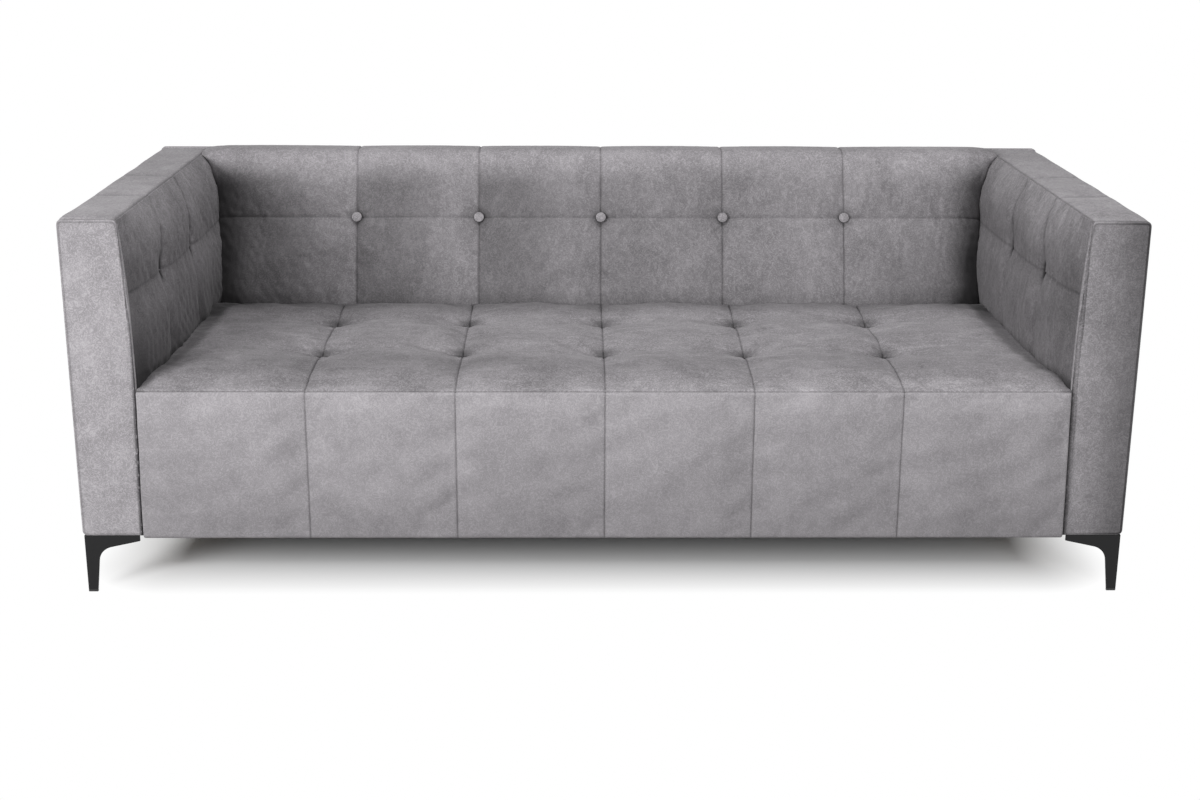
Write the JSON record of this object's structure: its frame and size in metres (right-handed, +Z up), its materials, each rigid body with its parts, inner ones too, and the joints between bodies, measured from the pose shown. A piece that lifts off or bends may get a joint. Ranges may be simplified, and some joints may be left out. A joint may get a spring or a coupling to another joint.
{
  "type": "three-seat sofa",
  "caption": "Box-arm sofa in grey velvet with a tufted seat, a buttoned sloping back, arms as high as the back and black metal corner legs.",
  "frame": {"origin": "on the floor, under the middle of the sofa", "axes": "+X along the sofa's width to the right in a front view, +Y from front to back, +Z up"},
  "size_m": [2.1, 0.924, 0.787],
  "materials": {
    "velvet": "matte",
    "foam": "matte",
    "felt": "matte",
    "webbing": "matte",
    "cord": "matte",
    "dust_cloth": "matte",
    "leg_metal": "satin",
    "glide_plastic": "matte",
    "clip_plastic": "matte",
    "steel": "satin",
    "hardboard": "matte",
    "frame_wood": "matte"
  },
  "bodies": {
    "frame": {"arm_left_bottom_rail": "frame_wood", "arm_left_front_panel": "velvet", "arm_left_front_post": "frame_wood", "arm_left_inner_board": "hardboard", "arm_left_inner_pad": "velvet", "arm_left_joining_rail": "frame_wood", "arm_left_outer_board": "hardboard", "arm_left_outer_cover": "velvet", "arm_left_rear_post": "frame_wood", "arm_left_top_rail": "frame_wood", "arm_right_bottom_rail": "frame_wood", "arm_right_front_panel": "velvet", "arm_right_front_post": "frame_wood", "arm_right_inner_board": "hardboard", "arm_right_inner_pad": "velvet", "arm_right_joining_rail": "frame_wood", "arm_right_outer_board": "hardboard", "arm_right_outer_cover": "velvet", "arm_right_rear_post": "frame_wood", "arm_right_top_rail": "frame_wood", "arm_tuft_cords": "cord", "back_bolts": "steel", "back_bottom_rail": "frame_wood", "back_buttons": "velvet", "back_foam": "foam", "back_outer_panel": "velvet", "back_pad": "velvet", "back_post_left_inner": "frame_wood", "back_post_left_outer": "frame_wood", "back_post_right_inner": "frame_wood", "back_post_right_outer": "frame_wood", "back_top_rail": "frame_wood", "back_webbing": "webbing", "button_cords": "cord", "centre_leg": "leg_metal", "centre_leg_screws": "steel", "dust_cover": "dust_cloth", "glide_front_left": "glide_plastic", "glide_front_right": "glide_plastic", "glide_rear_left": "glide_plastic", "glide_rear_right": "glide_plastic", "leg_front_left": "leg_metal", "leg_front_right": "leg_metal", "leg_rear_left": "leg_metal", "leg_rear_right": "leg_metal", "leg_screws": "steel", "seat_bolts": "steel", "seat_cover": "velvet", "seat_cross_beam": "frame_wood", "seat_foam": "foam", "seat_front_rail": "frame_wood", "seat_rear_rail": "frame_wood", "seat_side_rail_left": "frame_wood", "seat_side_rail_right": "frame_wood", "seat_springs": "steel", "seat_tuft_cords": "cord", "spring_clips": "clip_plastic", "spring_felt": "felt", "tee_nuts": "steel"},
    "centre_foot": {"centre_foot": "glide_plastic"}
  },
  "joints": [
    {"name": "centre_foot_screw", "type": "slide", "parent": "frame", "child": "centre_foot", "axis": [0, 0, -1], "range_m": [0, 0.015]}
  ]
}
